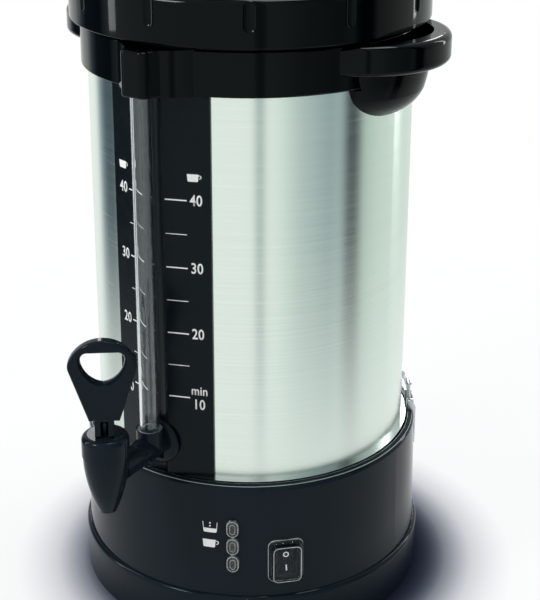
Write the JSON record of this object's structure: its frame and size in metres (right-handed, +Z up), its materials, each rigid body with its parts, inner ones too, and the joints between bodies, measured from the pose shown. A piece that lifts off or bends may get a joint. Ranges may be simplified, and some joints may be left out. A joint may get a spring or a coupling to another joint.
{
  "type": "coffee urn",
  "caption": "Tall round coffee urn with a steel jacket, a sight tube and scale, a sprung tap with a key lever, a locking lid and a switched black base.",
  "frame": {"origin": "the urn's vertical axis at the plane of its rubber feet", "axes": "+Z up along the urn's axis, -Y towards the tap, +X to the right seen from the tap"},
  "size_m": [0.265, 0.2913, 0.45],
  "materials": {
    "black_gloss": "moulded, high gloss",
    "black_satin": "moulded, satin",
    "brushed_jacket": "brushed around the axis",
    "bright_steel": "drawn and polished",
    "galvanised": "zinc plated",
    "cast_aluminium": "cast",
    "brass": "stamped",
    "clear_glass": "drawn tube",
    "clear_plastic": "moulded, clear",
    "rubber": "moulded silicone"
  },
  "bodies": {
    "urn": {"base_housing": "black_gloss", "base_screws": "galvanised", "basket_lid": "bright_steel", "basket_stop": "bright_steel", "bottom_plate": "black_satin", "collar": "black_gloss", "filter_basket": "bright_steel", "foot_ring": "black_gloss", "handle_left": "black_gloss", "handle_right": "black_gloss", "heater_plate": "cast_aluminium", "heating_element": "galvanised", "inlet_blades": "brass", "inlet_screws": "galvanised", "inner_tank": "bright_steel", "jacket": "brushed_jacket", "jacket_ring": "bright_steel", "lamp_board": "black_satin", "latch_base_left": "galvanised", "latch_base_right": "galvanised", "latch_keeper_left": "galvanised", "latch_keeper_right": "galvanised", "latch_pins": "galvanised", "latch_rivets": "galvanised", "power_inlet": "black_satin", "ready_lamp_lens": "clear_plastic", "rim_gasket": "rubber", "riser_tube": "bright_steel", "rubber_feet": "rubber", "scale_panel": "black_satin", "sight_tube": "clear_glass", "switch_body": "black_satin", "switch_cover": "clear_plastic", "tank_nut": "bright_steel", "tank_washer": "rubber", "tap_barrel": "black_gloss", "tap_bonnet": "black_gloss", "tap_disc": "black_gloss", "tap_fitting": "black_gloss", "tap_spring": "bright_steel", "thermostat": "galvanised", "tube_cap_upper": "rubber", "tube_seal_lower": "rubber", "warning_lamp_lens": "clear_plastic", "water_lamp_lens": "clear_plastic"},
    "lid": {"lid_shell": "black_gloss", "lid_knob": "black_gloss", "knob_screw": "galvanised", "lid_seal": "rubber"},
    "seat_cup": {"seat_cup": "rubber"},
    "tap_stem": {"tap_stem": "bright_steel", "lever_pin": "bright_steel"},
    "key_lever": {"key_lever": "black_gloss"},
    "switch_rocker": {"switch_rocker": "black_satin"},
    "latch_lever_right": {"latch_lever_right": "galvanised"},
    "latch_loop_right": {"latch_loop_right": "galvanised"},
    "latch_lever_left": {"latch_lever_left": "galvanised"},
    "latch_loop_left": {"latch_loop_left": "galvanised"}
  },
  "joints": [
    {"name": "lid_turn", "type": "hinge", "parent": "urn", "child": "lid", "pos_m": [0, 0, 0.4], "axis": [0, 0, 1], "range_deg": [0, 30]},
    {"name": "seat_lift", "type": "slide", "parent": "urn", "child": "seat_cup", "axis": [0, 0, 1], "range_m": [0, 0.0022], "stiffness_N_per_m": 400, "springref_m": -0.004, "deforming": ["tap_spring"]},
    {"name": "tap_swivel", "type": "hinge", "parent": "seat_cup", "child": "tap_stem", "pos_m": [0, -0.1604, 0.15], "axis": [0, 0, 1], "range_deg": [-126, 54]},
    {"name": "lever_tilt", "type": "hinge", "parent": "tap_stem", "child": "key_lever", "pos_m": [0, -0.1604, 0.1682], "axis": [0.809, 0.5878, 0], "range_deg": [0, 35]},
    {"name": "switch_rock", "type": "hinge", "parent": "urn", "child": "switch_rocker", "pos_m": [0.07637, -0.08105, 0.0595], "axis": [0.7278, 0.6858, 0], "range_deg": [0, 14]},
    {"name": "latch_swing_right", "type": "hinge", "parent": "urn", "child": "latch_lever_right", "pos_m": [0.0921, 0.05755, 0.117], "axis": [0.5299, -0.848, 0], "range_deg": [0, 70]},
    {"name": "loop_swing_right", "type": "hinge", "parent": "latch_lever_right", "child": "latch_loop_right", "pos_m": [0.09201, 0.0575, 0.11], "axis": [0.5299, -0.848, 0], "range_deg": [-49, 0]},
    {"name": "latch_swing_left", "type": "hinge", "parent": "urn", "child": "latch_lever_left", "pos_m": [-0.0921, 0.05755, 0.117], "axis": [0.5299, 0.848, 0], "range_deg": [0, 70]},
    {"name": "loop_swing_left", "type": "hinge", "parent": "latch_lever_left", "child": "latch_loop_left", "pos_m": [-0.09201, 0.0575, 0.11], "axis": [0.5299, 0.848, 0], "range_deg": [-49, 0]}
  ],
  "couplings": [
    {"joint": "lever_tilt", "follows": "seat_lift", "rad_per_m": 277.6},
    {"joint": "loop_swing_right", "follows": "latch_swing_right", "ratio": -0.695},
    {"joint": "loop_swing_left", "follows": "latch_swing_left", "ratio": -0.695}
  ]
}
